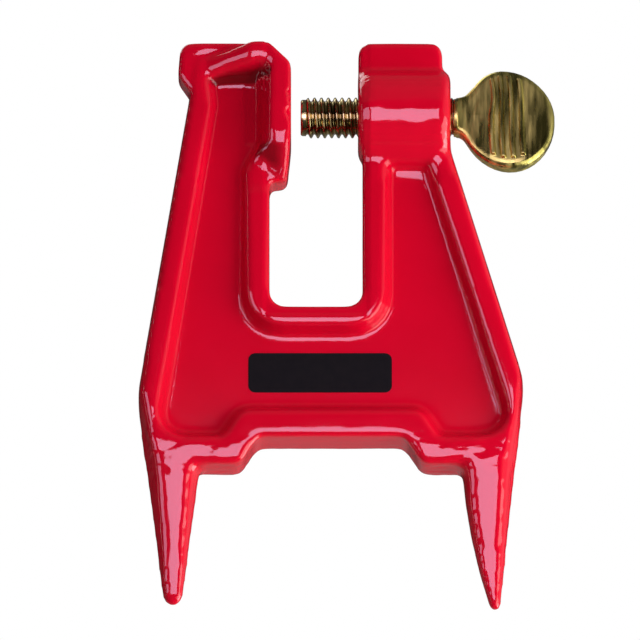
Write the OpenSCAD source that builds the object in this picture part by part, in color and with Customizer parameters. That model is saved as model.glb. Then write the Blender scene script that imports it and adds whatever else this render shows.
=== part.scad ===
// Stump vise: a cast frame with two spikes to drive into a stump, a fixed jaw on
// the left leg, a tapped boss on the right leg, and a thumbscrew that clamps a
// guide bar against the fixed jaw. X runs along the screw, Y from front to back,
// Z up. The origin lies between the spikes, level with the feet.

/* [Legs] */
// Height of the hammer pads above the feet
top_z = 100.7; // [98:0.1:104]
// Depth of the casting at the feet, front to back
foot_depth = 12.8; // [11:0.2:15]
// Depth of the legs at the screw axis, front to back
leg_depth = 9.6; // [8.6:0.2:11]
// Distance of the left knee from the middle
left_knee_x = 44.6; // [43:0.1:47]
// Height of the left knee above the feet
left_knee_z = 16.5; // [14:0.5:19]
// Distance of the right knee from the middle
right_knee_x = 44.5; // [43:0.1:47]
// Height of the right knee above the feet
right_knee_z = 20.2; // [18:0.2:23]
// Roundness of the knees
knee_r = 5; // [3:0.5:7]
// Inward lean of the left leg, for each mm of height
left_lean = 0.167; // [0.15:0.001:0.18]
// Inward lean of the right leg, for each mm of height
right_lean = 0.304; // [0.29:0.001:0.31]
// Draft of the cast walls, for each mm of depth
draft = 0.13; // [0.08:0.01:0.18]

/* [Pockets] */
// Thickness of the web between the pockets
web_t = 4; // [3:0.25:5]
// Width of the rim along the outer edges
rim_w = 4.85; // [4.4:0.05:5.4]
// Width of the rim along the slot
slot_rim_w = 4.35; // [4:0.05:4.8]
// Width of the rim above the feet and the arch
foot_rim_w = 5.6; // [5:0.1:6.4]
// Slope of the pocket walls, for each mm of depth
wall_slope = 0.52; // [0.4:0.02:0.6]
// Roundness of the lower corners of the pocket
pocket_r = 7; // [5:0.5:8]
// Gap between the top of the right pocket and the screw axis
right_pocket_gap = 10.6; // [10:0.1:12]

/* [Slot] */
// Width of the slot
slot_w = 21.4; // [19.5:0.1:23]
// Sideways place of the slot's middle
slot_x = -3.45; // [-4:0.05:-3]
// Height of the slot's floor above the feet
slot_floor_z = 37.4; // [34:0.2:41]
// Roundness of the slot's lower corners
slot_r = 3.6; // [2.5:0.1:5]

/* [Fixed jaw] */
// How far the jaw reaches into the slot
jaw_reach = 4.95; // [4:0.05:5.6]
// Height of the jaw's lower edge above the feet
jaw_bottom_z = 67.4; // [65:0.2:69]
// Depth of the jaw, front to back
jaw_depth = 16.4; // [14:0.2:18]
// Height of the clamping face at the jaw's full depth
jaw_face_h = 18.8; // [16:0.2:20]
// Size of the bevel on the jaw's top corner
jaw_bevel = 5; // [4:0.1:6]
// Width of the jaw's rim beside the pocket
jaw_rim_w = 5.8; // [5.2:0.1:6.4]

/* [Hammer pads] */
// Depth of the hammer pads, front to back
pad_depth = 8.6; // [7:0.2:9.4]
// Width of the right pad
pad_w = 19.3; // [17:0.1:20]
// How far the left pad stands out from its leg
left_pad_reach = 4.6; // [3:0.1:5.4]
// Height of the left pad's side
left_pad_h = 7.6; // [6:0.1:8.4]
// Roundness of the pads' top corners
pad_r = 2.4; // [1.5:0.1:3]

/* [Boss] */
// Height of the screw axis above the feet
axis_z = 84; // [82.5:0.1:85.5]
// Diameter of the boss
boss_d = 21.6; // [19.6:0.1:23]
// Length of the boss
boss_l = 21.2; // [20.4:0.1:23]
// How far the boss reaches into the slot
boss_reach = 1.05; // [0.6:0.05:1.6]
// Roundness of the boss ends
boss_edge_r = 2.2; // [1.5:0.1:3]
// Roundness where the boss meets the leg
boss_fillet_r = 9; // [7:0.5:11]

/* [Feet] */
// Rise of the arch above the feet
arch_rise = 6.4; // [5:0.1:8]
// Half width of the arch
arch_half_w = 16.9; // [15.5:0.1:18]
// Sideways run of the slope between the arch and a foot
arch_slope_w = 4.1; // [3:0.1:5]
// Roundness of the arch's upper corners
arch_r = 3.2; // [2:0.1:4]
// Roundness of the feet's inner corners
foot_r = 2; // [1:0.1:3]
// Distance of the spikes' inner edges from the middle
spike_root_x = 30; // [29:0.1:31.5]

/* [Spikes] */
// Length of the left spike below the feet
left_spike_l = 32.4; // [28:0.2:36]
// Length of the right spike below the feet
right_spike_l = 33.6; // [28:0.2:36]
// Distance of the left spike's tip from the middle
left_tip_x = 36.3; // [35:0.1:37.5]
// Distance of the right spike's tip from the middle
right_tip_x = 37.7; // [36:0.1:38.5]
// Width of the left spike's blunt tip
left_tip_w = 3.8; // [3:0.1:4.6]
// Width of the right spike's blunt tip
right_tip_w = 1.9; // [1.5:0.1:3]
// Depth of the spikes at their tips, front to back
tip_depth = 2.6; // [2:0.1:4]
// Bulge of the right spike's inner edge
right_belly = 1.1; // [0:0.1:1.6]
// Slope of the spikes' sides, for each mm of depth
spike_draft = 0.36; // [0.25:0.01:0.4]
// Slope of the right spike's inner side, for each mm of depth
right_inner_draft = 0.16; // [0.1:0.01:0.36]

/* [Thumbscrew] */
// Outer diameter of the thread
thread_d = 9.4; // [9:0.05:9.6]
// Pitch of the thread
thread_pitch = 1.5875; // [1.4:0.0125:1.75]
// Depth of the thread
thread_h = 0.92; // [0.8:0.02:1]
// Gap between the thread and the boss bore, all round
thread_clear = 0.1; // [0.05:0.01:0.2]
// Gap between the screw's nose and the fixed jaw
nose_gap = 2.2; // [1:0.1:6]
// Length of the plain nose
nose_l = 1.2; // [1:0.1:2]
// Diameter of the plain nose
nose_d = 8.4; // [7:0.1:8.8]
// Bevel round the nose
nose_bevel = 0.5; // [0.3:0.1:0.8]
// Gap between the nose and the thread
nose_clear = 0.05; // [0.03:0.01:0.1]
// Length of the thread that stands out of the boss beside the thumb piece
thread_out = 0.9; // [0.5:0.1:2]
// Diameter of the neck
neck_d = 8.8; // [8:0.1:9.2]
// Length of the neck up to the thumb piece
neck_l = 1; // [0.8:0.1:3]
// Width of the thumb piece
head_d = 22.2; // [20:0.2:25]
// Thickness of the thumb piece
head_t = 5; // [4:0.1:6]
// Roundness of the thumb piece's rim
head_edge_r = 1.3; // [0.8:0.1:1.8]
// Roundness where the neck meets the thumb piece
head_fillet_r = 2; // [1:0.1:3]
// Turn of the thumb piece about the screw
head_turn = -7; // [-90:1:90]
// Number of grip ribs on each face
rib_count = 4; // [2:1:6]
// Distance between the grip ribs
rib_step = 2.3; // [1.8:0.1:2.6]
// Width of a grip rib
rib_w = 0.9; // [0.6:0.1:1.2]
// Height of a grip rib above the face
rib_h = 0.4; // [0.2:0.05:0.6]
// Clear edge past the ends of a grip rib
rib_margin = 1.6; // [1.4:0.1:2.4]

/* [Label] */
// Width of the blank label
label_w = 33; // [26:0.5:36]
// Height of the blank label
label_h = 9.4; // [7:0.1:11]
// Thickness of the blank label
label_t = 0.25; // [0.15:0.05:0.4]
// Roundness of the label's corners
label_r = 1.6; // [0.8:0.1:3]
// Sideways place of the label's middle
label_x = -2.5; // [-4:0.1:0]
// Height of the label's middle above the feet
label_z = 22.3; // [21:0.1:23]

/* [Hidden] */

$fn = 96;
// Straight pieces in each rounded corner of an outline
arc_steps = 5;
// Extra reach that lets a cut run clear of what it cuts
past = 3;
// Depth by which one shape is sunk into another that it is cast with
sunk = 0.6;

enamel = "#c4102a";
zinc = "#a08c3e";
label_black = "#141414";

// The slot, the jaw, the boss and the screw along X
slot_left = slot_x - slot_w / 2;
slot_right = slot_x + slot_w / 2;
jaw_x = slot_left + jaw_reach;
boss_left = slot_right - boss_reach;
boss_right = boss_left + boss_l;
nose_x = jaw_x + nose_gap;
thread_start_x = nose_x + nose_l + nose_clear;
thread_end_x = boss_right + thread_out;
head_x = thread_end_x + neck_l;
head_centre_x = head_x + head_d / 2;
bore_d = thread_d + 2 * thread_clear;
core_d = thread_d - 2 * thread_h;

// The legs' outer edges at a height
function left_edge_x(z) = -left_knee_x + left_lean * (z - left_knee_z);
function right_edge_x(z) = right_knee_x - right_lean * (z - right_knee_z);

web_y = web_t / 2;

// The fixed jaw, from its top down: a little below the pads, the shoulder of its sloping
// left side, the start of the slope under its clamping face
jaw_dip = 0.3;
jaw_left_drop = 4;
jaw_shoulder_drop = 13;
jaw_top_z = top_z - jaw_dip;
jaw_left_z = jaw_top_z - jaw_left_drop;
jaw_shoulder_z = jaw_top_z - jaw_shoulder_drop;
jaw_slope_z = jaw_top_z - jaw_bevel - jaw_face_h;
// Where the jaw's top turns down to the left, and where its front begins to slope back
jaw_flat_w = 4;
jaw_front_w = 4.5;
jaw_turn_x = jaw_x - jaw_bevel - jaw_flat_w;
jaw_front_x = jaw_x - jaw_bevel - jaw_front_w;

// Plane geometry for outlines. A corner is [x, z, radius], and in a pocket [x, z, radius,
// slope]: the slope is that of the wall on the edge that leads on to the next corner.
// Outlines run anticlockwise.
function unit(v) = v / norm(v);
function left_of(v) = [-v.y, v.x];
function turned(v, a) = [v.x * cos(a) - v.y * sin(a), v.x * sin(a) + v.y * cos(a)];
function place(c) = [c.x, c.y];
function nth(list, i) = list[(i + len(list)) % len(list)];
function heading(corners, i) = unit(place(nth(corners, i + 1)) - place(nth(corners, i)));
function turn_at(corners, i) = let (a = heading(corners, i - 1), b = heading(corners, i))
    atan2(a.x * b.y - a.y * b.x, a * b);

// The sharpest that a corner gets
least_r = 0.2;
// The corner moved in by each of its edges' slope at a depth
function drawn_in(corners, i, depth) = let (
    c = nth(corners, i),
    before = left_of(heading(corners, i - 1)),
    after = left_of(heading(corners, i)),
    in_before = nth(corners, i - 1)[3] * depth,
    in_after = c[3] * depth,
    det = before.x * after.y - before.y * after.x,
    move = [in_before * after.y - in_after * before.y, before.x * in_after - after.x * in_before] / det,
    inset = (in_before + in_after) / 2,
    r = turn_at(corners, i) > 0 ? c[2] - inset : c[2] + inset
) [c.x + move.x, c.y + move.y, max(r, least_r), c[3]];
function corners_at(corners, depth) = [for (i = [0 : len(corners) - 1]) drawn_in(corners, i, depth)];

// Points along the rounded corner, from one edge to the next
function corner_arc(corners, i) = let (
    c = nth(corners, i),
    a = heading(corners, i - 1),
    turn = turn_at(corners, i),
    start = place(c) - a * c[2] * tan(abs(turn) / 2),
    spoke = -left_of(a) * c[2] * sign(turn)
) [for (s = [0 : arc_steps]) start - spoke + turned(spoke, turn * s / arc_steps)];
function outline(corners) = [for (i = [0 : len(corners) - 1]) each corner_arc(corners, i)];

// Triangles from one point to each step along a list of points
function fan(from, points) = [for (i = [0 : len(points) - 2]) [from, points[i], points[i + 1]]];
function span(from, to) = [for (i = [from : to]) i];

// A solid through rings of points, from front to back, each ring a list of the same length.
// The ends are triangles between a ring's points, by default all from its first point.
module loft(rings, end_triangles = []) {
    count = len(rings[0]);
    last = len(rings) - 1;
    ends = len(end_triangles) > 0 ? end_triangles : fan(0, span(1, count - 1));
    sides = [
        for (r = [0 : last - 1], i = [0 : count - 1])
            let (j = (i + 1) % count, a = r * count, b = a + count)
                each [[a + i, a + j, b + j], [a + i, b + j, b + i]]
    ];
    front = [for (t = ends) [t[2], t[1], t[0]]];
    back = [for (t = ends) [for (i = t) last * count + i]];
    polyhedron([for (ring = rings) each ring], concat(front, sides, back));
}

// The outline drawn in by its slopes at a depth, and set at that depth
function ring_at(corners, y, depth) = [for (p = outline(corners_at(corners, depth))) [p.x, y, p.y]];

// A plate that stands upright, of an even depth to the front and the back
module upright(corners, depth) {
    rotate([90, 0, 0]) linear_extrude(depth, center = true) polygon(outline(corners));
}

// What it holds, on the front and on the back
module both_faces() {
    for (side = [0, 1]) mirror([0, side, 0]) children();
}

// A shape drawn in the Y and Z plane, run along X
module side_profile(points, from_x, to_x) {
    translate([from_x, 0, 0])
        rotate([90, 0, 90])
            linear_extrude(to_x - from_x) polygon(points);
}

// Roundness of the knee where a spike's side begins
knee_ease = 0.4;

// The spikes' outer and inner edges at a height
function along(from, to, z) = from.x + (to.x - from.x) * (z - from.y) / (to.y - from.y);
left_tip = [-left_tip_x, -left_spike_l];
right_tip = [right_tip_x, -right_spike_l];
function left_out_x(z) = along([-left_knee_x, left_knee_z], left_tip - [left_tip_w / 2, 0], z);
function left_in_x(z) = along([-spike_root_x, 0], left_tip + [left_tip_w / 2, 0], z);
function right_out_x(z) = along([right_knee_x, right_knee_z], right_tip + [right_tip_w / 2, 0], z);
function right_in_x(z) = along([spike_root_x, 0], right_tip - [right_tip_w / 2, 0], z)
    - right_belly * sin(180 * z / right_tip.y);

// How far a foot's plate reaches past its spike's inner edge, within the spike
foot_corner_w = 2;

// Legs and feet, one outline: feet and arch, right leg, slot, jaw, left leg
frame_corners = [
    [-spike_root_x - foot_corner_w, 0, 0.4],
    [-arch_half_w - arch_slope_w, 0, foot_r],
    [-arch_half_w, arch_rise, arch_r],
    [arch_half_w, arch_rise, arch_r],
    [arch_half_w + arch_slope_w, 0, foot_r],
    [spike_root_x + foot_corner_w, 0, 0.4],
    [right_knee_x - knee_ease, right_knee_z, knee_r],
    [right_edge_x(right_knee_z + knee_r) + sunk, right_knee_z + knee_r, knee_r],
    [right_edge_x(axis_z - boss_d / 3) + sunk, axis_z - boss_d / 3, 0.3],
    [boss_right - boss_edge_r, axis_z + sunk, 0.3],
    [slot_right, axis_z + sunk, 0.3],
    [slot_right, slot_floor_z, slot_r],
    [slot_left, slot_floor_z, slot_r],
    [slot_left, jaw_bottom_z, 0.8],
    [jaw_x - sunk / 2, jaw_bottom_z, 1.2],
    [jaw_x - sunk / 2, jaw_top_z - jaw_bevel, 1.5],
    [jaw_x - jaw_bevel, jaw_top_z, 2],
    [jaw_turn_x, jaw_top_z, 4],
    [left_edge_x(jaw_left_z) - sunk, jaw_left_z, 3],
    [left_edge_x(left_knee_z + knee_r) - sunk, left_knee_z + knee_r, knee_r],
    [-left_knee_x + knee_ease, left_knee_z, knee_r]
];

// Half of the frame's depth at a height: deep feet, slimmer legs
function half_depth(z) = (foot_depth + (leg_depth - foot_depth) * z / axis_z) / 2;
taper_cut = [
    [-half_depth(-past), -past],
    [-half_depth(top_z + past), top_z + past],
    [-foot_depth, top_z + past],
    [-foot_depth, -past]
];

// Cuts an edge to a ridge in the middle, with the draft to both faces. The edge runs from
// one point to another, with the outside on its right.
module draft_cut(from, to) {
    run = to - from;
    translate([from.x, 0, from.y])
        rotate([0, -atan2(run.y, run.x), 0])
            side_profile(
                [
                    [0, 0], [-foot_depth, draft * foot_depth], [-foot_depth, -past],
                    [foot_depth, -past], [foot_depth, draft * foot_depth]
                ],
                -past, norm(run) + past
            );
}

module legs() {
    difference() {
        upright(frame_corners, foot_depth + past);
        both_faces() side_profile(taper_cut, -left_knee_x - past, right_knee_x + past);
        draft_cut([right_knee_x, right_knee_z], [right_edge_x(axis_z), axis_z]);
        draft_cut([left_edge_x(jaw_top_z), jaw_top_z], [-left_knee_x, left_knee_z]);
    }
}

// A spike, from its knee down, thinner towards its tip, with a ridge round its sides where
// the mould parts
function spike_half_depth(z, tip) = z > 0 ? half_depth(z) - sunk / 4
    : tip_depth / 2 + (half_depth(0) - sunk / 4 - tip_depth / 2) * (1 - z / tip.y);
// The slope of a spike's outer side grows from the leg's draft at the knee
function outer_slope(z, knee) = spike_draft + (draft - spike_draft) * max(0, z / knee.y);
// A side leans in by no more than this share of the spike's width
most_lean = 0.35;
function spike_ring(out_x, in_x, z, half, out_slope, in_slope) = let (
    side = sign(in_x - out_x),
    most = most_lean * abs(in_x - out_x),
    out_lean = min(out_slope * half, most) * side,
    in_lean = min(in_slope * half, most) * side
) [
    [out_x, 0, z], [out_x + out_lean, -half, z], [in_x - in_lean, -half, z],
    [in_x, 0, z], [in_x - in_lean, half, z], [out_x + out_lean, half, z]
];
// The blunt tip narrows in steps: share of its width, and height above its end for its width
tip_rounds = [[1, 0.5], [0.75, 0.2], [0.3, 0]];

// The outline's outer and inner edges are functions of the height
module spike(out_at, in_at, knee, tip, tip_w, inner_draft) {
    inward = -sign(tip.x);
    shoulder = spike_ring(
        out_at(knee.y) + inward * knee_ease, in_at(0), knee.y + knee_ease,
        spike_half_depth(knee.y, tip), draft, inner_draft
    );
    shank = [
        for (z = [knee.y - knee_r / 2, 0, tip.y / 4, tip.y / 2, tip.y * 3 / 4])
            spike_ring(
                out_at(z), in_at(min(z, 0)), z, spike_half_depth(z, tip), outer_slope(z, knee), inner_draft
            )
    ];
    end = [
        for (t = tip_rounds) let (z = tip.y + t[1] * tip_w, mid = (out_at(z) + in_at(z)) / 2)
            spike_ring(
                mid + (out_at(z) - mid) * t[0], mid + (in_at(z) - mid) * t[0], z,
                t[0] * spike_half_depth(z, tip), spike_draft, inner_draft
            )
    ];
    rings = concat([shoulder], shank, end);
    loft(inward > 0 ? rings : [for (r = rings) [for (i = [5 : -1 : 0]) r[i]]]);
}

module spikes() {
    spike(
        function(z) left_out_x(z), function(z) left_in_x(z),
        [-left_knee_x, left_knee_z], left_tip, left_tip_w, spike_draft
    );
    spike(
        function(z) right_out_x(z), function(z) right_in_x(z),
        [right_knee_x, right_knee_z], right_tip, right_tip_w, right_inner_draft
    );
}

// The fixed jaw stands proud of its leg, with a slope below the clamping face
jaw_corners = [
    [slot_left, jaw_bottom_z + sunk / 3, 0.6],
    [jaw_x, jaw_bottom_z + sunk / 3, 1],
    [jaw_x, jaw_top_z - jaw_bevel - sunk / 3, 1.5],
    [jaw_x - jaw_bevel - sunk / 3, jaw_top_z - sunk / 3, 2],
    [jaw_turn_x, jaw_top_z - sunk / 3, 4],
    [left_edge_x(jaw_left_z) + sunk, jaw_left_z - sunk, 2],
    [left_edge_x(jaw_shoulder_z) + sunk, jaw_shoulder_z, 2]
];
// What is cut from the front of the jaw: the slope below its clamping face, and, seen
// from above, the slope down to the leg towards the outer edge
jaw_slope_cut = [
    [-leg_depth / 2 + sunk, jaw_bottom_z - past],
    [-leg_depth / 2, jaw_bottom_z],
    [-jaw_depth / 2, jaw_slope_z],
    [-jaw_depth / 2 - past, jaw_slope_z + past],
    [-jaw_depth / 2 - past, jaw_bottom_z - past]
];
jaw_plan_cut = [
    [left_edge_x(top_z) - 2 * past, -web_y],
    [jaw_front_x, -jaw_depth / 2],
    [jaw_front_x + past, -jaw_depth / 2 - past],
    [left_edge_x(top_z) - 2 * past, -jaw_depth / 2 - past]
];

module fixed_jaw() {
    difference() {
        upright(jaw_corners, jaw_depth);
        both_faces() {
            side_profile(jaw_slope_cut, left_edge_x(jaw_bottom_z) - past, jaw_x + past);
            translate([0, 0, jaw_bottom_z - past])
                linear_extrude(top_z - jaw_bottom_z + 2 * past) polygon(jaw_plan_cut);
        }
    }
}

// The pads that take the hammer: one beside the fixed jaw, one over the boss
left_pad_x = left_edge_x(top_z) - left_pad_reach;
left_pad_root_z = top_z - left_pad_h - left_pad_reach;
left_pad_corners = [
    [left_pad_x, top_z - left_pad_h, 1.6],
    [left_edge_x(left_pad_root_z) + sunk, left_pad_root_z, 0.4],
    [jaw_turn_x, left_pad_root_z, 0.4],
    [jaw_turn_x + sunk, top_z, 1],
    [left_pad_x + sunk, top_z, pad_r]
];
right_pad_x = boss_left + sunk / 6;
right_pad_corners = [
    [right_pad_x, axis_z, 0.3],
    [boss_left + pad_w, axis_z, 0.3],
    [boss_left + pad_w, top_z, pad_r],
    [right_pad_x, top_z, pad_r]
];

module hammer_pads() {
    upright(left_pad_corners, pad_depth);
    upright(right_pad_corners, pad_depth);
}

// The boss, a round bar with rounded ends along the screw axis
module boss() {
    translate([boss_left, 0, axis_z])
        rotate([0, 90, 0])
            rotate_extrude() {
                square([boss_d / 2 - boss_edge_r, boss_l]);
                translate([0, boss_edge_r]) square([boss_d / 2, boss_l - 2 * boss_edge_r]);
                for (z = [boss_edge_r, boss_l - boss_edge_r])
                    translate([boss_d / 2 - boss_edge_r, z]) circle(boss_edge_r);
            }
}

// The hollow blend between the boss and the leg below it, on both faces
blend_r = boss_d / 2 - sunk / 3;
blend_y = leg_depth / 2 - sunk / 3;
fillet_drop = sqrt(pow(blend_r + boss_fillet_r, 2) - pow(blend_y + boss_fillet_r, 2));
fillet_reach = atan2(fillet_drop, blend_y + boss_fillet_r);
fillet_steps = 2 * arc_steps;
fillet_points = concat(
    [[0, axis_z], [0, axis_z - fillet_drop - sunk], [blend_y, axis_z - fillet_drop - sunk]],
    [for (s = [0 : fillet_steps]) let (a = 180 - s * fillet_reach / fillet_steps) [
        blend_y + boss_fillet_r + boss_fillet_r * cos(a),
        axis_z - fillet_drop + boss_fillet_r * sin(a)
    ]]
);

module boss_fillet() {
    both_faces() side_profile(fillet_points, slot_right + sunk, boss_right - boss_edge_r);
}

// The pocket on each face, drawn at the depth of the feet: it runs down the left
// leg, under the slot, over the feet and the arch, and up the right leg
rim_y = foot_depth / 2;
head_pocket_right = jaw_x - jaw_rim_w;
head_rim_w = 5.2;
head_pocket_z = jaw_top_z - head_rim_w;
head_pocket_left_z = head_pocket_z - head_rim_w / 2;
// Under the slot the rim is a little narrower, and its corners are rounder than the slot's
slot_rim_ease = 0.5;
slot_corner_w = 3.6;
slot_pocket_z = slot_floor_z - slot_rim_w + slot_rim_ease;
slot_pocket_r = slot_r + slot_corner_w;
right_pocket_z = axis_z - right_pocket_gap;
left_rim = rim_w * norm([1, left_lean]);
right_rim = rim_w * norm([1, right_lean]);
// Beside the arch's slopes, sideways, and beside the jaw, where the pocket's wall slopes more
foot_diagonal = 3.4;
head_left_rim = 4.2;
head_wall_slope = 0.73;
pocket_corners = [
    [left_edge_x(foot_rim_w) + left_rim, foot_rim_w, pocket_r, wall_slope],
    [-arch_half_w - arch_slope_w - foot_diagonal, foot_rim_w, arch_r, wall_slope],
    [-arch_half_w - foot_diagonal, arch_rise + foot_rim_w, arch_r, wall_slope],
    [arch_half_w + foot_diagonal, arch_rise + foot_rim_w, arch_r, wall_slope],
    [arch_half_w + arch_slope_w + foot_diagonal, foot_rim_w, arch_r, wall_slope],
    [right_edge_x(foot_rim_w) - right_rim, foot_rim_w, pocket_r, wall_slope],
    [right_edge_x(right_pocket_z) - right_rim, right_pocket_z, 1.6, wall_slope],
    [slot_right + slot_rim_w, right_pocket_z, 1.6, wall_slope],
    [slot_right + slot_rim_w, slot_pocket_z, slot_pocket_r, wall_slope],
    [slot_left - slot_rim_w, slot_pocket_z, slot_pocket_r, wall_slope],
    [slot_left - slot_rim_w, jaw_bottom_z + 2.5, 3, wall_slope],
    [head_pocket_right, jaw_slope_z, 2.4, wall_slope],
    [head_pocket_right, head_pocket_z, 2.6, head_wall_slope],
    [left_edge_x(head_pocket_left_z) + head_left_rim, head_pocket_left_z, 2, wall_slope]
];

// A pocket's end is a bent strip round the slot. Points are counted by corner: the strip is
// split into the left leg, the left foot, the middle under the slot, the right foot and the
// right leg, so that each of these is seen whole from one of its points.
function point_at(corner, step) = corner * (arc_steps + 1) + step;
bend_step = floor(arc_steps / 2);
left_bend = point_at(9, bend_step);
right_bend = point_at(8, arc_steps - bend_step);
pocket_end = concat(
    fan(0, span(left_bend, point_at(13, arc_steps))),
    fan(left_bend, span(0, point_at(2, arc_steps))),
    fan(point_at(2, arc_steps), span(right_bend, left_bend)),
    [[point_at(2, arc_steps), point_at(3, 0), right_bend]],
    fan(right_bend, span(point_at(3, 0), point_at(5, arc_steps))),
    fan(point_at(5, arc_steps), span(point_at(6, 0), right_bend))
);

module pockets() {
    cut_y = jaw_depth / 2 + past;
    both_faces()
        loft([for (y = [cut_y, web_y]) ring_at(pocket_corners, -y, rim_y - y)], pocket_end);
}

module cast_frame() {
    color(enamel)
        difference() {
            union() {
                legs();
                spikes();
                fixed_jaw();
                hammer_pads();
                boss();
                boss_fillet();
            }
            pockets();
            translate([boss_left - past, 0, axis_z])
                rotate([0, 90, 0]) cylinder(d = bore_d, h = boss_l + 2 * past);
        }
}

// The thread, one ridge along a helix. Each turn has four points in every row along the
// shank: the two edges of the crest and the two edges of the root. The ridge rises out
// of the core over its first turn and sinks back into it over its last.
turn_steps = 24;
crest_share = 0.14;
root_share = 0.16;
flank_share = (1 - crest_share - root_share) / 2;
row_shares = [0, root_share, root_share + flank_share, root_share + flank_share + crest_share];
plain_turns = 1.2;
ridge_turns = floor((thread_end_x - thread_start_x) / thread_pitch - plain_turns);
ridge_x = thread_start_x + (thread_end_x - thread_start_x - (ridge_turns + 1) * thread_pitch) / 2;
row_points = 4 * ridge_turns + 1;
function ridge_rise(k, i) = k % 4 < 2 ? 0 : let (turn = floor(k / 4) + i / turn_steps)
    thread_h * min(1, turn, ridge_turns - turn);
function shank_point(x, r, i) = let (a = 360 * i / turn_steps) [x, -r * sin(a), axis_z + r * cos(a)];
function ridge_point(k, i) = shank_point(
    ridge_x + thread_pitch * (floor(k / 4) + row_shares[k % 4] + i / turn_steps),
    core_d / 2 + ridge_rise(k, i), i
);
// The rows come one after the other, then the last turn's closing points, then the two end
// rings. After its last step a row goes on as the first row, one turn further along.
last_k = row_points - 1;
seam = turn_steps - 1;
closing_start = turn_steps * row_points;
nose_ring_start = closing_start + 4;
head_ring_start = nose_ring_start + turn_steps;
function ridge_at(k, i) = i < turn_steps ? i * row_points + k
    : k + 4 < row_points ? k + 4 : closing_start + k + 4 - row_points;
function nose_ring_at(i) = nose_ring_start + i % turn_steps;
function head_ring_at(i) = head_ring_start + i % turn_steps;
function quad(a, b, c, d) = [[a, b, c], [a, c, d]];
module threaded_shank() {
    points = concat(
        [for (i = [0 : seam], k = [0 : last_k]) ridge_point(k, i)],
        [for (k = [row_points : row_points + 3]) ridge_point(k, 0)],
        [for (i = [0 : seam]) shank_point(thread_start_x, core_d / 2, i)],
        [for (i = [0 : seam]) shank_point(thread_end_x, core_d / 2, i)]
    );
    skin = [
        for (i = [0 : seam], k = [0 : last_k - 1])
            each quad(ridge_at(k, i), ridge_at(k + 1, i), ridge_at(k + 1, i + 1), ridge_at(k, i + 1))
    ];
    nose_band = [
        for (i = [0 : seam - 1])
            each quad(nose_ring_at(i), ridge_at(0, i), ridge_at(0, i + 1), nose_ring_at(i + 1))
    ];
    nose_seam = fan(
        ridge_at(0, seam),
        concat([for (k = [4 : -1 : 0]) ridge_at(k, 0)], [nose_ring_at(0), nose_ring_at(seam)])
    );
    head_band = [
        for (i = [1 : seam])
            each quad(ridge_at(last_k, i), head_ring_at(i), head_ring_at(i + 1), ridge_at(last_k, i + 1))
    ];
    head_seam = fan(
        ridge_at(last_k, 1),
        concat([for (k = [0 : 4]) ridge_at(last_k - 4 + k, turn_steps)], [head_ring_at(0), head_ring_at(1)])
    );
    nose_end = [for (i = [0 : seam]) nose_ring_at(i)];
    head_end = [for (i = [seam : -1 : 0]) head_ring_at(i)];
    color(zinc)
        polyhedron(points, concat(skin, nose_band, nose_seam, head_band, head_seam, [nose_end, head_end]));
}

// The flat thumb piece with its neck, forged with the screw. The outline runs round
// the disc and through a hollow on each side into the neck.
neck_r = neck_d / 2;
hollow_x = sqrt(pow(head_d / 2 + head_fillet_r, 2) - pow(neck_r + head_fillet_r, 2));
hollow_a = atan2(neck_r + head_fillet_r, hollow_x);
disc_steps = 36;
function disc_arc(inset) = [
    for (s = [0 : disc_steps]) let (a = -180 + hollow_a + s * (360 - 2 * hollow_a) / disc_steps)
        [head_centre_x, 0] + (head_d / 2 - inset) * [cos(a), sin(a)]
];
function hollow_arc(inset, side) = [
    for (s = [0 : arc_steps]) let (a = side > 0 ? -hollow_a - s * (90 - hollow_a) / arc_steps
            : 90 - s * (90 - hollow_a) / arc_steps)
        [head_centre_x - hollow_x, side * (neck_r + head_fillet_r)]
            + (head_fillet_r + inset) * [cos(a), sin(a)]
];
function head_outline(inset) = concat(
    [[thread_end_x + sunk, -neck_r + inset]],
    hollow_arc(inset, -1),
    disc_arc(inset),
    hollow_arc(inset, 1),
    [[thread_end_x + sunk, neck_r - inset]]
);
// The outline's point furthest from the neck, from which all others are in sight
far_point = 1 + (arc_steps + 1) + disc_steps / 2;
function from_far_point(list) = [for (i = [0 : len(list) - 1]) nth(list, far_point + i)];
head_sections = [
    for (side = [-1, 1], a = side < 0 ? [90, 60, 30, 0] : [0, 30, 60, 90])
        [side * (head_t / 2 - head_edge_r * (1 - sin(a))), head_edge_r * (1 - cos(a))]
];

module thumb_plate() {
    loft([for (s = head_sections) [for (p = from_far_point(head_outline(s[1]))) [p.x, s[0], p.y]]]);
}

module grip_ribs() {
    for (side = [-1, 1], i = [0 : rib_count - 1]) {
        along = (i - (rib_count - 1) / 2) * rib_step;
        half_l = sqrt(pow(head_d / 2 - rib_margin, 2) - pow(abs(along) + rib_w / 2, 2));
        translate([head_centre_x + along, side * head_t / 2, 0])
            cube([rib_w, 2 * rib_h, 2 * half_l], center = true);
    }
}

module thumb_head() {
    color(zinc)
        translate([0, 0, axis_z])
            rotate([head_turn, 0, 0]) {
                thumb_plate();
                grip_ribs();
                translate([thread_end_x, 0, 0])
                    rotate([0, 90, 0]) cylinder(d = neck_d, h = neck_l);
            }
}

// The plain nose of the screw, which meets the work
module screw_nose() {
    color(zinc)
        translate([nose_x, 0, axis_z])
            rotate([0, 90, 0])
                rotate_extrude()
                    polygon([
                        [0, 0], [nose_d / 2 - nose_bevel, 0], [nose_d / 2, nose_bevel],
                        [nose_d / 2, nose_l], [0, nose_l]
                    ]);
}

// The blank label on the web under the slot
label_corners = [
    [label_x - label_w / 2, label_z - label_h / 2, label_r, 0],
    [label_x + label_w / 2, label_z - label_h / 2, label_r, 0],
    [label_x + label_w / 2, label_z + label_h / 2, label_r, 0],
    [label_x - label_w / 2, label_z + label_h / 2, label_r, 0]
];

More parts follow.
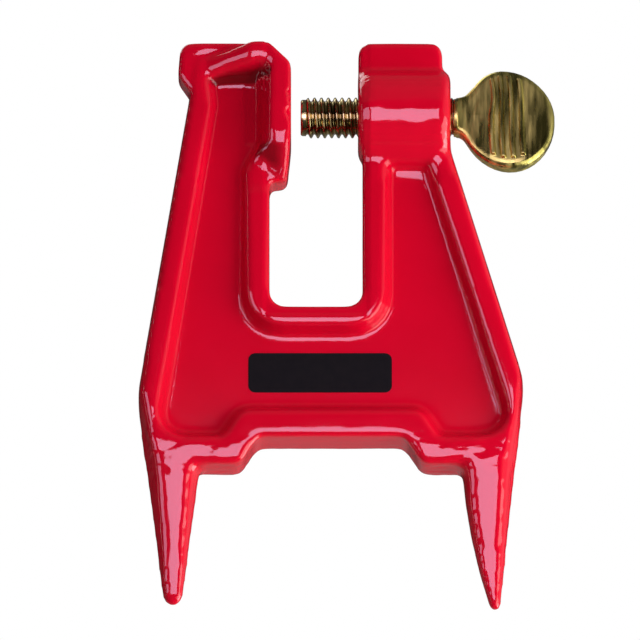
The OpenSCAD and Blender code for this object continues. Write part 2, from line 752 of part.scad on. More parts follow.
module label_patch() {
    color(label_black)
        translate([0, -web_y, 0])
            rotate([90, 0, 0])
                linear_extrude(label_t) polygon(outline(label_corners));
}

cast_frame();
threaded_shank();
thumb_head();
screw_nose();
label_patch();
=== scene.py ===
import math

import bmesh
import bpy
from mathutils import Matrix, Vector, noise


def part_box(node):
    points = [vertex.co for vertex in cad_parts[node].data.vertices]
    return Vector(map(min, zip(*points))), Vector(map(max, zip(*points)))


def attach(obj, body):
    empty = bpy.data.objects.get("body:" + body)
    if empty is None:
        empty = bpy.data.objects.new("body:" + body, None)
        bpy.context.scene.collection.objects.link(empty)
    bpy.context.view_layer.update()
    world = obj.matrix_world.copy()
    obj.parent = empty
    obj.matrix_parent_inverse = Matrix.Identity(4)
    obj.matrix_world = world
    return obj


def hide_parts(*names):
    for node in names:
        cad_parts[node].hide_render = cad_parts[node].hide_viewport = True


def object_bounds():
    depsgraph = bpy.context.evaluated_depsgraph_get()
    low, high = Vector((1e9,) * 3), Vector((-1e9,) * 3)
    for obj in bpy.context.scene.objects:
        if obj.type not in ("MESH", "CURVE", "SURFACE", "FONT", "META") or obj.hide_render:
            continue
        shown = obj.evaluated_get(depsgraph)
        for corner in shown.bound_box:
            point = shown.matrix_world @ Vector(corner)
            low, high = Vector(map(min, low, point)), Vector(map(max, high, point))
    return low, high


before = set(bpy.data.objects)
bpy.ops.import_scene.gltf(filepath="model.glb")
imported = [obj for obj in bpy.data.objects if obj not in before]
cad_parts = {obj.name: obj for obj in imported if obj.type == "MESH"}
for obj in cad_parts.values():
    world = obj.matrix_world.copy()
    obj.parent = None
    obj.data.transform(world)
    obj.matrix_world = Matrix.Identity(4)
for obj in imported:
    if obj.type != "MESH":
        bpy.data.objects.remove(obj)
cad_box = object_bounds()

# Cast frame
# One iron casting: two legs with spikes and feet, the fixed jaw, the boss and the hammer pads.
# It is sand cast, knocked off and fettled, then dipped in red gloss enamel, which rounds every
# edge and inner corner and dries with a slightly wavy surface; shade in some hollows is painted into its
# colour. A wave is a length and a height.
CAST_GRAIN = 0.00051
ALL_PASSES = 5
EDGE_PASSES = 4
EDGES_ABOVE = -0.022
COAT = 0.00016
COAT_CLEAR = 0.0075
WAVES = ((0.011, 0.00005), (0.0045, 0.000012))
FOOT_WAVES = ((0.0042, 0.00010),)
DRAIN_WAVES = ((0.0022, 0.00008),)
BOSS_WAVES = ((0.0026, 0.00006),)
RUN_WAVES = ((0.0017, 0.00006),)


def skin_of(node_name, piece_name, grain):
    """A new piece from a node's solid: its seams merged and its surface rebuilt at an even grain."""
    body = bmesh.new()
    body.from_mesh(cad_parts[node_name].data)
    bmesh.ops.remove_doubles(body, verts=body.verts, dist=1e-6)
    mesh = bpy.data.meshes.new(piece_name)
    body.to_mesh(mesh)
    body.free()
    piece = bpy.data.objects.new(piece_name, mesh)
    bpy.context.scene.collection.objects.link(piece)
    even = piece.modifiers.new("even grain", "REMESH")
    even.mode = "VOXEL"
    even.voxel_size = grain
    rebuilt = bpy.data.meshes.new_from_object(piece.evaluated_get(bpy.context.evaluated_depsgraph_get()))
    piece.modifiers.clear()
    piece.data = rebuilt
    rebuilt.name = piece_name
    return piece


def rub(body, verts, passes, faces_too=True):
    """Rubs edges and inner corners round; without the faces, only the outline seen from the front."""
    for _ in range(passes):
        bmesh.ops.smooth_vert(
            body, verts=verts, factor=0.5, use_axis_x=True, use_axis_y=faces_too, use_axis_z=True
        )


def outer_edges(body):
    """The points that stand out from their neighbours: outer edges, but not inner corners."""
    body.normal_update()
    picked = []
    for vert in body.verts:
        others = [edge.other_vert(vert).co for edge in vert.link_edges]
        middle = sum(others, Vector()) / len(others)
        if (middle - vert.co).dot(vert.normal) < -1e-6:
            picked.append(vert)
    return picked


def roll(verts, waves, fade=None, flow=1):
    """Moves the surface in and out in slow waves, as a dipped skin sets; flow makes them lie flatter."""
    moves = []
    for vert in verts:
        place = Vector((vert.co.x, vert.co.y, vert.co.z * flow))
        lift = sum(height * noise.noise(place / length) for length, height in waves)
        moves.append(vert.normal * lift * (fade(vert.co) if fade else 1))
    for vert, move in zip(verts, moves):
        vert.co += move


def within(body, low, high):
    """The points of a body in a box, given by two corners; the box holds for both faces."""
    return [
        v for v in body.verts
        if low[0] < v.co.x < high[0] and low[1] < abs(v.co.y) < high[1] and low[2] < v.co.z < high[2]
    ]


def part(value):
    """A value held between 0 and 1."""
    return min(1, max(0, value))


def soft_min(one, other, width):
    """The lesser of two depths, the corner between them rounded off."""
    if width < 1e-6:
        return min(one, other)
    share = part(0.5 + 0.5 * (other - one) / width)
    return other + (one - other) * share - width * share * (1 - share)


def set_depth(vert, depth):
    """Moves a point of the front or the back face to a depth from the middle plane."""
    vert.co.y = math.copysign(depth, vert.co.y)


def finish_mesh(piece, body):
    """Writes the shaped mesh back to its piece, shaded smooth."""
    body.to_mesh(piece.data)
    body.free()
    piece.data.shade_smooth()


def add_node(tree, kind, inputs=None, **settings):
    """A node with its settings, its inputs set to values or joined to other nodes' sockets."""
    made = tree.nodes.new(kind)
    for name, value in settings.items():
        setattr(made, name, value)
    for name, value in (inputs or {}).items():
        if isinstance(value, bpy.types.NodeSocket):
            tree.links.new(value, made.inputs[name])
        else:
            made.inputs[name].default_value = value
    return made


def ramp(tree, value, start, end, **settings):
    """A value mapped from one range to another, and held within it."""
    made = add_node(
        tree, "ShaderNodeMapRange",
        {"Value": value, "From Min": start[0], "From Max": start[1], "To Min": end[0], "To Max": end[1]},
        **settings,
    )
    return made.outputs[0]


def blend(tree, factor, one, other, data_type="RGBA"):
    """Two colours, or two plain values, mixed by a factor."""
    made = add_node(tree, "ShaderNodeMix", {"Factor": factor, "A": one, "B": other}, data_type=data_type)
    return made.outputs["Result"]


def maths(tree, operation, *values, **settings):
    """One step of arithmetic on values and sockets."""
    made = add_node(tree, "ShaderNodeMath", dict(enumerate(values)), operation=operation, **settings)
    return made.outputs[0]


def new_finish(name):
    """An empty material, its node tree, its surface shader and its object coordinates."""
    finish = bpy.data.materials.new(name)
    finish.use_nodes = True
    tree = finish.node_tree
    shader = tree.nodes["Principled BSDF"]
    coords = add_node(tree, "ShaderNodeTexCoord").outputs["Object"]
    return finish, tree, shader, coords


def red_enamel():
    """Dipped gloss enamel: painted shade in the hollows, orange peel, faint layers, a few pinholes and dust.
    """
    finish, tree, shader, coords = new_finish("red_enamel")
    thin_red, thick_red = (0.54, 0.0008, 0.014, 1), (0.64, 0.0012, 0.020, 1)
    # The first of these is a painted shade colour: the deep red that shaded hollows are painted towards.
    painted_shade_red, hole_red = (0.17, 0.0003, 0.004, 1), (0.05, 0.001, 0.003, 1)
    few_holes, few_nibs, nib_height, layer_height = 0.86, 0.80, 4.0, 3.0
    drift = add_node(tree, "ShaderNodeTexNoise", {"Vector": coords, "Scale": 70.0, "Detail": 4.0})
    shade = blend(tree, drift.outputs["Fac"], thin_red, thick_red)
    # Painted shade: the shade layer darkens the colour in the scoop, the hollow and the pocket's floor.
    painted_shade_attr = add_node(tree, "ShaderNodeAttribute", attribute_name="painted_shade")
    deeper = blend(tree, painted_shade_attr.outputs["Fac"], shade, painted_shade_red)
    cells = add_node(tree, "ShaderNodeTexVoronoi", {"Vector": coords, "Scale": 110.0})
    hole = ramp(tree, cells.outputs["Distance"], (0.03, 0.045), (1.0, 0.0))
    seldom = maths(tree, "GREATER_THAN", cells.outputs["Color"], few_holes)
    colour = blend(tree, maths(tree, "MULTIPLY", hole, seldom), deeper, hole_red)
    peel = add_node(tree, "ShaderNodeTexNoise", {"Vector": coords, "Scale": 900.0, "Detail": 2.0})
    dust = add_node(tree, "ShaderNodeTexVoronoi", {"Vector": coords, "Scale": 240.0})
    nib = ramp(tree, dust.outputs["Distance"], (0.0, 0.09), (nib_height, 0.0))
    few = maths(tree, "GREATER_THAN", dust.outputs["Color"], few_nibs)
    nibs = maths(tree, "MULTIPLY_ADD", nib, few, peel.outputs["Fac"])
    layers = add_node(
        tree, "ShaderNodeTexWave", {"Vector": coords, "Scale": 270.0, "Distortion": 0.0},
        wave_type="BANDS", bands_direction="Y",
    )
    height = maths(tree, "MULTIPLY_ADD", layers.outputs["Fac"], layer_height, nibs)
    bump = add_node(tree, "ShaderNodeBump", {"Height": height, "Strength": 0.25, "Distance": 0.00003})
    tree.links.new(colour, shader.inputs["Base Color"])
    tree.links.new(bump.outputs["Normal"], shader.inputs["Normal"])
    shader.inputs["Roughness"].default_value = 0.07
    shader.inputs["IOR"].default_value = 1.5
    return finish


cast_frame = skin_of("cast_frame", "enamelled_casting", CAST_GRAIN)
casting = bmesh.new()
casting.from_mesh(cast_frame.data)
# A layer of painted shade: how far the enamel's colour is darkened where shade falls in the hollows.
painted_shade = casting.verts.layers.float.new("painted_shade")

# Under the clamping face the jaw is scooped out, deeper to the left, and its edge leans back a
# little towards the step. The scoop's shade is painted into the enamel as a darker red.
jaw_x, past_jaw = -0.0092, 0.002
leg_y, jaw_y, past_jaw_y = 0.0049, 0.0082, 0.012
scoop_left, scoop_fade, scoop_from = -0.019, 0.0075, 0.066
scoop_top, scoop_low, scoop_low_left = 0.0770, 0.0669, 0.0725
scoop_shade, shade_left, shade_foot, shade_top = 0.8, 0.5, 0.3, 0.25
edge_w, edge_lean = 0.0035, 0.0009
for vert in within(casting, (scoop_left, leg_y, scoop_from), (jaw_x + past_jaw, past_jaw_y, scoop_top)):
    left = part((jaw_x - vert.co.x) / scoop_fade)
    foot = scoop_low + (scoop_low_left - scoop_low) * left
    up = max(0, vert.co.z - foot) / (scoop_top - foot)
    set_depth(vert, min(abs(vert.co.y), leg_y + (jaw_y - leg_y) * up))
    vert[painted_shade] = scoop_shade * part(left / shade_left) * part(up / shade_foot) * part((1 - up) / shade_top)
for vert in within(casting, (jaw_x - edge_w, -1, scoop_from), (jaw_x + past_jaw, 1, scoop_top)):
    vert.co.x -= edge_lean * (scoop_top - vert.co.z) / (scoop_top - scoop_low)

# The pocket beside the jaw ends in a wide hollow at its top, from the web up to a soft edge. Its
# sides slope, and the rim around it falls back to the left. Its shade is painted into the enamel as a dark
# red.
web_y = 0.0020
hollow_left, hollow_right, hollow_y = -0.0300, -0.0130, 0.0095
hollow_low, hollow_top, slope_foot_z = 0.0860, 0.1000, 0.0905
slope_edge = ((-0.0293, 0.0926), (-0.0237, 0.0948), (-0.0168, 0.0964), (-0.0125, 0.0950))
edge_r, edge_rise, foot_r, foot_share = 0.0075, 0.0024, 0.0008, 0.8
rim_x, rim_fall = -0.0187, 0.347
left_foot, left_steep, left_wider, left_wider_h = -0.0260, 1.3, 0.0008, 0.006
right_foot, right_steep = -0.0178, 1.63
dark_from, dark_from_fade, dark_to, dark_to_fade = 0.10, 0.15, 0.85, 0.25
dark_left, dark_left_fade = -0.0285, 0.0015
for vert in within(casting, (hollow_left, web_y, hollow_low), (hollow_right, hollow_y, hollow_top)):
    x, z = vert.co.x, vert.co.z
    (x0, z0), (x1, z1) = next(pair for pair in zip(slope_edge, slope_edge[1:]) if x <= pair[1][0])
    edge_z = z0 + (z1 - z0) * (x - x0) / (x1 - x0)
    face_y = jaw_y - rim_fall * max(0, rim_x - x)
    up = max(0, (z - slope_foot_z) / (edge_z - slope_foot_z))
    rounded = face_y - max(0, edge_z + edge_rise - z) ** 2 / (2 * edge_r)
    top_wall = min((face_y - web_y) * up ** 2, rounded - web_y)
    left_wall = left_steep * (left_foot - left_wider * part((z - hollow_low) / left_wider_h) - x)
    right_wall = right_steep * (x - right_foot)
    wall = web_y + max(0, top_wall, left_wall, right_wall)
    depth = abs(vert.co.y)
    set_depth(vert, soft_min(depth, wall, min(foot_r, foot_share * (depth - web_y))))
    # Painted shade: points below the surface's old depth are darkened, most in the middle of the wall.
    if depth > wall:
        dark = part((up - dark_from) / dark_from_fade) * part((dark_to - up) / dark_to_fade)
        vert[painted_shade] = dark * part((x - dark_left) / dark_left_fade)

# Below the hollow a fainter painted shade runs down the pocket's floor, strongest at the top.
floor_right, floor_y, floor_low, floor_past = -0.0155, 0.0026, 0.0640, 0.001
floor_shade, floor_fade = 0.22, 0.020
for vert in within(casting, (hollow_left, 0.0, floor_low), (floor_right, floor_y, slope_foot_z + floor_past)):
    vert[painted_shade] = max(vert[painted_shade], floor_shade * part((vert.co.z - floor_low) / floor_fade))

# Above the hollow the wing swells by a hair, along a line that rises to the right.
wing_left, wing_right, wing_fade = -0.0330, -0.0185, 0.003
swell_x, swell_z, swell_rise = -0.0292, 0.0984, 0.196
swell_h, swell_w = 0.00040, 0.0016
for vert in within(casting, low=(wing_left, 0.0030, 0.0965), high=(wing_right, 0.0052, 0.1012)):
    above = vert.co.z - swell_z - swell_rise * (vert.co.x - swell_x)
    share = part(0.5 + above / swell_w)
    ends = part((vert.co.x - wing_left) / wing_fade) * part((wing_right - vert.co.x) / wing_fade)
    set_depth(vert, abs(vert.co.y) + swell_h * share * share * (3 - 2 * share) * ends)

# Under the boss the web curves forward before it meets the pocket's end.
web_bend_x, web_bend_z, web_bend_tilt, web_bend_r = 0.0140, 0.0690, 0.08, 0.008
for vert in within(casting, low=(0.0130, 0.0015, 0.0665), high=(0.0240, 0.0040, 0.0730)):
    along = max(0, vert.co.z - web_bend_z + web_bend_tilt * (vert.co.x - web_bend_x))
    set_depth(vert, max(abs(vert.co.y), web_y + along * along / (2 * web_bend_r)))

# The fronts of the feet bend back into the spikes in a long curve, which starts lower at the right.
foot_y, feet_x, feet_fade, tip_z = 0.00625, 0.019, 0.003, cad_box[0].z
spike_lean, bend_l = 0.155, 0.0050
right_lower, right_x, right_fade = 0.0064, 0.022, 0.016
for vert in casting.verts:
    bend_z = bend_l - right_lower * part((vert.co.x - right_x) / right_fade) ** 2
    past = max(0, bend_z - vert.co.z)
    bent = past * past / (2 * bend_l) if past < bend_l else past - bend_l / 2
    fall = spike_lean * (bent - max(0, -vert.co.z)) * part(1 - vert.co.z / tip_z)
    vert.co.y *= 1 - fall / foot_y * part((abs(vert.co.x) - feet_x) / feet_fade)

rub(casting, casting.verts, ALL_PASSES)
rub(casting, [v for v in outer_edges(casting) if v.co.z > EDGES_ABOVE], EDGE_PASSES)

# Rounder places: two corners of a box, the passes, and whether the faces are rubbed too.
for low, high, passes, faces_too in (
    ((-0.050, -1, 0.008), (-0.0405, 1, 0.026), 30, False),  # left knee
    ((0.0430, -1, 0.011), (0.050, 1, 0.030), 30, False),  # right knee
    ((0.0270, -1, -0.006), (0.0345, 1, 0.004), 24, False),  # inner root of the right spike
    ((-0.0345, -1, -0.006), (-0.0270, 1, 0.004), 16, False),  # inner root of the left spike
    ((-0.050, 0.0030, -0.004), (-0.015, 1, 0.005), 8, True),  # front and back edges of the left foot
    ((0.015, 0.0030, -0.004), (0.050, 1, 0.005), 8, True),  # front and back edges of the right foot
    ((-0.050, -1, -0.0205), (-0.029, 1, 0.002), 14, True),  # left spike
    ((0.029, -1, -0.0205), (0.050, 1, 0.002), 14, True),  # right spike
    ((-0.0190, 0.0030, 0.0650), (-0.0080, 1, 0.0785), 12, True),  # scoop under the jaw
    ((0.0235, -1, 0.0690), (0.0300, 1, 0.0800), 14, True),  # boss where it runs into the leg
    ((0.0055, 0.0050, 0.0850), (0.0100, 1, 0.0990), 10, True),  # left edge of the boss
    ((0.0095, 0.0018, 0.0670), (0.0265, 0.0070, 0.0745), 8, True),  # hollow under the boss
):
    rub(casting, within(casting, low, high), passes, faces_too)

# The enamel's own thickness, left off the bore and the faces that a guide bar slides past.
shank_low, shank_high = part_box("threaded_shank")
axis = Vector((shank_low.x, 0, (shank_low.z + shank_high.z) / 2))
mouth_left, mouth_right, mouth_low, bore_left = -0.0155, 0.0085, 0.035, -0.02
casting.normal_update()
for vert in casting.verts:
    from_axis = math.hypot(vert.co.y, vert.co.z - axis.z)
    in_mouth = mouth_left < vert.co.x < mouth_right and vert.co.z > mouth_low
    if not in_mouth and (from_axis > COAT_CLEAR or vert.co.x < bore_left):
        vert.co += vert.normal * COAT

# Slow waves everywhere but on the web, shorter and stronger ones on the feet, where the enamel
# drained, and on the boss, and runs down the right leg's pocket wall, which faces left.
web_fade, faces_left = 0.001, -0.3
casting.normal_update()
roll(casting.verts, WAVES, lambda co: part((abs(co.y) - web_y) / web_fade))
for waves, low, high, low_fade, high_fade, flow in (
    (FOOT_WAVES, (-0.050, 0.002, -0.009), (0.050, 1, 0.009), 0.007, 0.006, 2.2),
    (DRAIN_WAVES, (-0.050, 0.002, -0.006), (0.050, 1, 0.008), 0.004, 0.004, 2.4),
    (BOSS_WAVES, (0.005, 0.007, 0.074), (0.028, 1, 0.094), 0.004, 0.004, 1),
):
    roll(
        within(casting, low, high), waves,
        lambda co: part((high[2] - co.z) / high_fade) * part((co.z - low[2]) / low_fade), flow,
    )
pocket_wall = within(casting, low=(0.018, 0.0021, 0.008), high=(0.045, 0.0062, 0.062))
roll([v for v in pocket_wall if v.normal.x < faces_left], RUN_WAVES)

# A ragged run of enamel hangs across the root of the left spike.
run_z, run_w, run_h, run_wander = -0.0023, 0.00055, 0.00010, 0.0004
ragged_x, ragged_y, ragged_level, ragged_depth = 0.0015, 0.02, 0.6, 1.6
for vert in within(casting, low=(-0.0405, 0.003, -0.0045), high=(-0.0322, 1, 0.0)):
    ragged = noise.noise(Vector((vert.co.x / ragged_x, 0, vert.co.y / ragged_y)))
    off = (vert.co.z - run_z - run_wander * ragged) / run_w
    thick = math.exp(-off * off) * part(ragged_level + ragged_depth * ragged)
    set_depth(vert, abs(vert.co.y) + run_h * thick)

# Nicks in the front edge of the clamping face: each a height and a size.
nick_share = 0.45
for nick_z, size in ((0.0878, 0.0013), (0.0861, 0.0010), (0.0832, 0.0016), (0.0818, 0.0010)):
    centre = Vector((jaw_x, -jaw_y, nick_z))
    for vert in within(casting, (jaw_x - 0.003, 0.005, 0.080), (jaw_x + past_jaw, past_jaw_y, 0.090)):
        near = (vert.co - centre).length / size
        if near < 1:
            vert.co -= vert.normal * nick_share * size * (1 - near * near)
finish_mesh(cast_frame, casting)
cast_frame.data.materials.clear()
cast_frame.data.materials.append(red_enamel())
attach(cast_frame, "vise_frame")
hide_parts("cast_frame")

# Threaded shank
# The screw's shank, steel, with a 3/8 inch coarse thread rolled on it from end to end.
# Rolling leaves smooth flanks and rounded roots. It is zinc plated and yellow passivated.
PITCH = 0.0015875
THREAD_DEPTH = 0.00086
THREAD_START = 1.31
SPARE_TURNS = 3
TURN_STEPS = 72
THREAD_PROFILE = (
    (0.0, 0.0), (0.06, 0.0), (0.13, 0.10), (0.35, 0.86), (0.42, 1.0),
    (0.58, 1.0), (0.65, 0.86), (0.87, 0.10), (0.94, 0.0), (1.0, 0.0),
)
crest_r = (shank_high.z - shank_low.z) / 2
root_r = crest_r - THREAD_DEPTH
nose_low, nose_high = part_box("screw_nose")
nose_r = (nose_high.z - nose_low.z) / 2


def yellow_zinc(name, dull, bright, rough_low, rough_high):
    """Zinc plate with a yellow chromate film: olive gold that drifts in streaks, dull and bright."""
    finish, tree, shader, coords = new_finish(name)
    drawn = add_node(tree, "ShaderNodeMapping", {"Vector": coords, "Scale": (620.0, 620.0, 60.0)})
    film = add_node(tree, "ShaderNodeTexNoise", {"Vector": drawn.outputs[0], "Scale": 1.0, "Detail": 3.0})
    spread = ramp(tree, film.outputs["Fac"], (0.34, 0.66), (0.0, 1.0))
    rough = ramp(tree, spread, (0.0, 1.0), (rough_low, rough_high))
    tree.links.new(blend(tree, spread, dull, bright), shader.inputs["Base Color"])
    tree.links.new(rough, shader.inputs["Roughness"])
    shader.inputs["Metallic"].default_value = 1.0
    return finish


rolled_zinc = yellow_zinc("rolled_zinc", (0.14, 0.095, 0.036, 1), (0.60, 0.49, 0.22, 1), 0.12, 0.20)
shank_mesh = bpy.data.meshes.new("rolled_thread")
thread = bmesh.new()
turns = math.ceil((shank_high.x - shank_low.x) / PITCH) + SPARE_TURNS
start = Vector((shank_low.x - THREAD_START * PITCH, 0, axis.z))
row = [
    thread.verts.new(start + Vector((along * PITCH, 0, root_r + rise * THREAD_DEPTH)))
    for along, rise in THREAD_PROFILE
]
ridge = [thread.edges.new(pair) for pair in zip(row, row[1:])]
bmesh.ops.spin(
    thread, geom=row + ridge, cent=axis, axis=(1, 0, 0), dvec=(PITCH / TURN_STEPS, 0, 0),
    angle=2 * math.pi * turns, steps=TURN_STEPS * turns, use_merge=False,
)
bmesh.ops.remove_doubles(thread, verts=thread.verts, dist=2e-6)
for vert in thread.verts:
    spoke = Vector((0, vert.co.y, vert.co.z - axis.z))
    end_gap = min(vert.co.x - shank_low.x, shank_high.x - vert.co.x)
    most = max(root_r, min(crest_r, nose_r + end_gap))
    if spoke.length > most:
        spoke *= most / spoke.length
        vert.co = Vector((vert.co.x, spoke.y, axis.z + spoke.z))
for end_x, side in ((shank_low.x, -1), (shank_high.x, 1)):
    cut = bmesh.ops.bisect_plane(
        thread, geom=thread.verts[:] + thread.edges[:] + thread.faces[:],
        plane_co=(end_x, 0, axis.z), plane_no=(side, 0, 0), clear_outer=True,
    )
    rim = [e for e in cut["geom_cut"] if isinstance(e, bmesh.types.BMEdge)]
    bmesh.ops.holes_fill(thread, edges=rim)
bmesh.ops.recalc_face_normals(thread, faces=thread.faces)
thread.to_mesh(shank_mesh)
thread.free()
shank_mesh.shade_smooth()
shank = bpy.data.objects.new("rolled_thread", shank_mesh)
bpy.context.scene.collection.objects.link(shank)
shank_mesh.materials.append(rolled_zinc)
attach(shank, "thumbscrew")
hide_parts("threaded_shank")

# Thumb piece
# The screw's flat round end, pressed out of the same bar while hot, with four grip ribs on each
# crowned face. It leans a little, is longer below, and carries the same yellow passivated zinc.
HEAD_GRAIN = 0.00013
HEAD_PASSES = 1
HEAD_R = 0.0111
HEAD_LONGER = 0.175
HEAD_LEAN = 0.085
HEAD_TUCK = 0.19
TUCK_RISE = 0.35
TUCK_END = 1.12
TUCK_FADE = 0.12
NECK_KEPT = 0.0013
NECK_FADE = 0.0025
HEAD_CROWN = 6.0
HEAD_TURN = math.radians(-7)
HEAD_WAVES = ((0.006, 0.00004), (0.002, 0.000004))
PLATE_Y = 0.0025
RIB_H = 0.0004
head = skin_of("thumb_head", "thumb_piece", HEAD_GRAIN)
forging = bmesh.new()
forging.from_mesh(head.data)
rub(forging, forging.verts, HEAD_PASSES)
head_low, head_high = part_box("thumb_head")
head_x = head_high.x - HEAD_R
straight = Vector((0, math.cos(HEAD_TURN), math.sin(HEAD_TURN)))
for vert in forging.verts:
    past_neck = part((vert.co.x - head_low.x - NECK_KEPT) / NECK_FADE)
    depth = (vert.co - axis).dot(straight)
    crown = HEAD_CROWN * min(HEAD_R, abs(vert.co.x - head_x)) ** 2 * min(1, abs(depth) / PLATE_Y)
    rib = min(RIB_H, max(0, abs(depth) - PLATE_Y))
    vert.co += straight * math.copysign(past_neck, depth) * (rib - crown)
    below = axis.z - vert.co.z
    outward = min(1, math.hypot(vert.co.x - head_x, below) / HEAD_R)
    left = (head_x - vert.co.x) / HEAD_R
    tuck = part(-below / HEAD_R / TUCK_RISE) * part((TUCK_END - left) / TUCK_FADE) * max(0, left)
    vert.co.x += past_neck * (HEAD_LEAN * below * outward ** 2 + HEAD_TUCK * HEAD_R * tuck)
    vert.co.z -= past_neck * HEAD_LONGER * max(0, below)
forging.normal_update()
roll(forging.verts, HEAD_WAVES)
finish_mesh(head, forging)
head.data.materials.clear()
head.data.materials.append(
    yellow_zinc("pressed_zinc", (0.28, 0.24, 0.06, 1), (0.78, 0.66, 0.19, 1), 0.20, 0.46)
)
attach(head, "thumbscrew")
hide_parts("thumb_head")

# Screw nose
# The plain turned end of the screw, which presses on the guide bar. Its edge is rounded off, and
# it reaches back to the end of the shank.
NOSE_SIDES = 64
NOSE_EDGE = 0.0005
nose_mesh = bpy.data.meshes.new("turned_nose")
turned = bmesh.new()
nose_high.x = shank_low.x
nose_l = nose_high.x - nose_low.x
bmesh.ops.create_cone(
    turned, cap_ends=True, segments=NOSE_SIDES, radius1=nose_r, radius2=nose_r, depth=nose_l,
    matrix=Matrix.Translation((nose_low + nose_high) / 2) @ Matrix.Rotation(math.pi / 2, 4, "Y"),
)
tip_edges = [e for e in turned.edges if all(v.co.x < nose_low.x + nose_l / 2 for v in e.verts)]
bmesh.ops.bevel(
    turned, geom=tip_edges, offset=NOSE_EDGE, offset_type="OFFSET", segments=3, profile=0.5,
    affect="EDGES", material=-1,
)
turned.to_mesh(nose_mesh)
turned.free()
nose = bpy.data.objects.new("turned_nose", nose_mesh)
bpy.context.scene.collection.objects.link(nose)
nose_mesh.materials.append(rolled_zinc)
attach(nose, "screw_end")
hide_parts("screw_nose")

# Label
# A blank black patch printed on the web under the slot, with a soft sheen and a slightly uneven
# ink film.
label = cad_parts["label_patch"]


def black_print():
    """Screen-printed ink: black, half gloss, a little grain."""
    finish, tree, shader, coords = new_finish("black_print")
    full_black, thin_black = (0.002, 0.002, 0.002, 1), (0.008, 0.006, 0.006, 1)
    film = add_node(tree, "ShaderNodeTexNoise", {"Vector": coords, "Scale": 500.0, "Detail": 3.0})
    colour = blend(tree, film.outputs["Fac"], full_black, thin_black)
    rough = ramp(tree, film.outputs["Fac"], (0.3, 0.7), (0.30, 0.40))
    tree.links.new(colour, shader.inputs["Base Color"])
    tree.links.new(rough, shader.inputs["Roughness"])
    shader.inputs["Specular IOR Level"].default_value = 0.05
    return finish


label.data.materials.clear()
label.data.materials.append(black_print())

# Studio
# A pale floor at the spikes' tips, which shows only from above and hides none of the lights. The
# vise is lit from the front, the right, above, below and behind. Panels and a strip at both sides
# are seen only as reflections, and the lamps that aren't mirrored give light alone.
scene = bpy.context.scene
scene.view_settings.view_transform = "Standard"


def pale_floor():
    """Pale from above, clear from below and to all that isn't seen straight from the camera."""
    finish, tree, shader, coords = new_finish("pale_floor")
    film = add_node(tree, "ShaderNodeTexNoise", {"Vector": coords, "Scale": 6.0})
    colour = blend(tree, film.outputs["Fac"], (0.86, 0.86, 0.86, 1), (0.90, 0.90, 0.90, 1))
    tree.links.new(colour, shader.inputs["Base Color"])
    shader.inputs["Roughness"].default_value = 0.8
    path = add_node(tree, "ShaderNodeLightPath")
    face = add_node(tree, "ShaderNodeNewGeometry")
    from_above = maths(
        tree, "SUBTRACT", path.outputs["Is Camera Ray"], face.outputs["Backfacing"], use_clamp=True
    )
    clear = add_node(tree, "ShaderNodeBsdfTransparent")
    mix = add_node(
        tree, "ShaderNodeMixShader", {0: from_above, 1: clear.outputs[0], 2: shader.outputs[0]}
    )
    tree.links.new(mix.outputs[0], tree.nodes["Material Output"].inputs["Surface"])
    return finish


floor_mesh = bpy.data.meshes.new("floor")
ground = bmesh.new()
bmesh.ops.create_grid(
    ground, x_segments=1, y_segments=1, size=3.0, matrix=Matrix.Translation((0, 0, cad_box[0].z))
)
ground.to_mesh(floor_mesh)
ground.free()
floor = bpy.data.objects.new("floor", floor_mesh)
scene.collection.objects.link(floor)
floor_mesh.materials.append(pale_floor())

middle = (cad_box[0] + cad_box[1]) / 2
lilac = (0.82, 0.68, 1.0)


def softbox(name, place, size, level, colour=(1, 1, 1), mirrored=True, lights=True):
    """A rectangular soft light of an even level, aimed at the middle of the vise."""
    lamp = bpy.data.lights.new(name, "AREA")
    lamp.shape = "RECTANGLE"
    lamp.size, lamp.size_y = size
    lamp.energy = level * 4 * size[0] * size[1]
    lamp.color = colour
    held = bpy.data.objects.new(name, lamp)
    held.location = place
    held.rotation_euler = (middle - Vector(place)).to_track_quat("-Z", "Y").to_euler()
    held.visible_glossy = mirrored
    held.visible_diffuse = lights
    scene.collection.objects.link(held)


softbox("front_softbox", (0.02, -0.62, 0.011), (0.24, 0.322), 5.3, lilac)
softbox("right_key", (0.50, -0.22, -0.08), (0.50, 0.50), 5.0, mirrored=False)
softbox("right_panel", (0.52, -0.22, -0.24), (0.62, 0.55), 2.2, lights=False)
softbox("right_rim", (0.50, 0.12, -0.27), (0.36, 0.36), 4.0, lights=False)
softbox("left_panel", (-0.36, -0.48, 0.05), (0.28, 0.26), 3.3, lilac, lights=False)
softbox("left_strip", (-0.70, -0.15, 0.0), (0.05, 0.70), 2.6, lights=False)
softbox("floor_bounce", (0.05, 0.12, -0.42), (0.60, 0.60), 1.4, mirrored=False)
softbox("top_light", (0.05, -0.05, 0.85), (0.80, 0.80), 1.1, mirrored=False)
softbox("back_fill", (-0.50, 0.40, 0.78), (0.70, 0.70), 1.8)

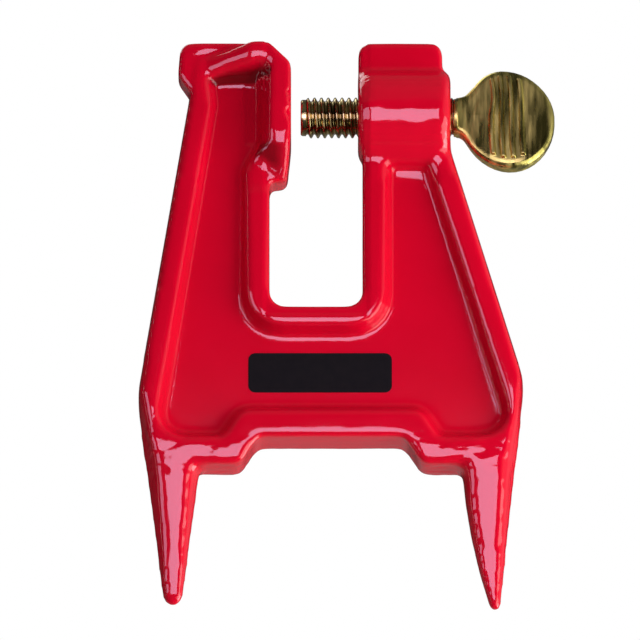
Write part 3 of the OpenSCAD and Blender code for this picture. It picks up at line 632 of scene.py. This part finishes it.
# The camera sees white on every side. Polished surfaces mirror a graded room instead of that white:
# dark in front, because the photographed fronts mirror something dark, and lighter low down behind,
# at the right and overhead.
AMBIENT = 0.16
WHITE = 1.0
world = bpy.data.worlds.new("white_studio")
scene.world = world
world.use_nodes = True
sky = world.node_tree
path = add_node(sky, "ShaderNodeLightPath")
direction = add_node(sky, "ShaderNodeTexCoord").outputs["Generated"]
toward = add_node(sky, "ShaderNodeSeparateXYZ", {0: direction}).outputs
behind = ramp(sky, toward["Y"], (0.0, 0.9), (0.06, 0.26))
low_down = ramp(sky, toward["Z"], (-0.05, 0.20), (1.0, 0.1))
beside = ramp(sky, toward["X"], (0.45, 0.85), (0.0, 0.40), interpolation_type="SMOOTHSTEP")
overhead = ramp(sky, toward["Z"], (0.33, 0.62), (0.0, 0.10), interpolation_type="SMOOTHSTEP")
around = maths(sky, "MULTIPLY_ADD", behind, low_down, beside)
room = maths(sky, "ADD", around, overhead)
ambient_or_room = blend(sky, path.outputs["Is Glossy Ray"], AMBIENT, room, "FLOAT")
seen = maths(sky, "MAXIMUM", path.outputs["Is Camera Ray"], path.outputs["Is Transmission Ray"])
strength = blend(sky, seen, ambient_or_room, WHITE, "FLOAT")
sky.nodes["Background"].inputs["Color"].default_value = (1, 1, 1, 1)
sky.links.new(strength, sky.nodes["Background"].inputs["Strength"])

# Camera
# A long lens, in front and a little below the vise, looking up at it.
CAMERA_RISE = math.radians(16)
CAMERA_FAR = 6.0
VIEW_WIDTH = 0.1472
aim = Vector((-0.00253, 0, 0.03556))
camera = bpy.data.cameras.new("long_lens")
camera.sensor_width = 36
camera.lens = camera.sensor_width * CAMERA_FAR / VIEW_WIDTH
camera.clip_end = 20
camera_stand = bpy.data.objects.new("camera", camera)
sight = Vector((0, math.cos(CAMERA_RISE), math.sin(CAMERA_RISE)))
camera_stand.location = aim - sight * CAMERA_FAR
camera_stand.rotation_euler = sight.to_track_quat("-Z", "Y").to_euler()
scene.collection.objects.link(camera_stand)
scene.camera = camera_stand
